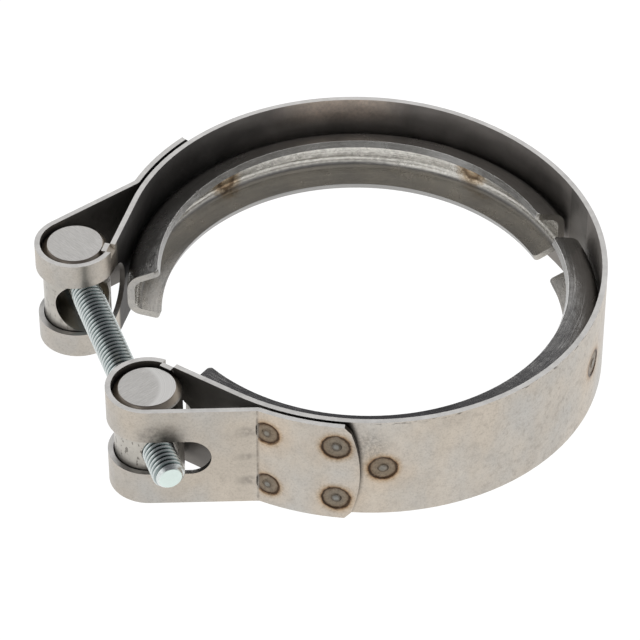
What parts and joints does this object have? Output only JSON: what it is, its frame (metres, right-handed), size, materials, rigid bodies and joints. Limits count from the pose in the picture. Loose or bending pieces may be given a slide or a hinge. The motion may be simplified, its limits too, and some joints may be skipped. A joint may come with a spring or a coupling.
{
  "type": "v-band exhaust clamp",
  "caption": "Round V-profile band clamp that pulls two flanged exhaust pipes together when its cross bolt is tightened.",
  "frame": {"origin": "centre of the ring, midway between the centres of its two sprung-open halves, at half the band's width", "axes": "+Z along the ring's axis, towards the side that faces up when the clamp lies on its band; -X towards the gap between the two loops; +Y towards the bolt's head"},
  "size_m": [0.1026, 0.0956, 0.022],
  "materials": {
    "stainless_strip": "rolled stainless strip, satin, with heat tint at the spot welds",
    "stainless_channel": "formed stainless sheet, smooth and slightly glossy",
    "turned_steel": "turned bar with brushed end faces",
    "zinc_plating": "bright zinc plating with a cool cast"
  },
  "bodies": {
    "ring": {"outer_band": "stainless_strip", "rear_v_segment": "stainless_channel", "front_v_segment": "stainless_channel"},
    "rear_barrel": {"rear_trunnion": "turned_steel"},
    "front_barrel": {"front_trunnion": "turned_steel"},
    "washer": {"bolt_washer": "zinc_plating"},
    "bolt": {"clamp_bolt": "zinc_plating"}
  },
  "joints": [
    {"name": "rear_barrel_turn", "type": "hinge", "parent": "ring", "child": "rear_barrel", "pos_m": [-0.04964, 0.0215, 0], "axis": [0, 0, 1], "range_deg": [-3, 2]},
    {"name": "front_barrel_turn", "type": "hinge", "parent": "ring", "child": "front_barrel", "pos_m": [-0.04964, -0.0215, 0], "axis": [0, 0, 1], "range_deg": [0, 2.4]},
    {"name": "bolt_feed", "type": "slide", "parent": "front_barrel", "child": "washer", "axis": [0.0262, 0.9997, 0], "range_m": [-0.0005, 0.016]},
    {"name": "bolt_spin", "type": "hinge", "parent": "washer", "child": "bolt", "pos_m": [-0.04964, -0.0215, 0], "axis": [0.0262, 0.9997, 0], "range_deg": [-180, 5760]}
  ],
  "couplings": [
    {"joint": "bolt_spin", "follows": "bolt_feed", "rad_per_m": 6283.2}
  ]
}
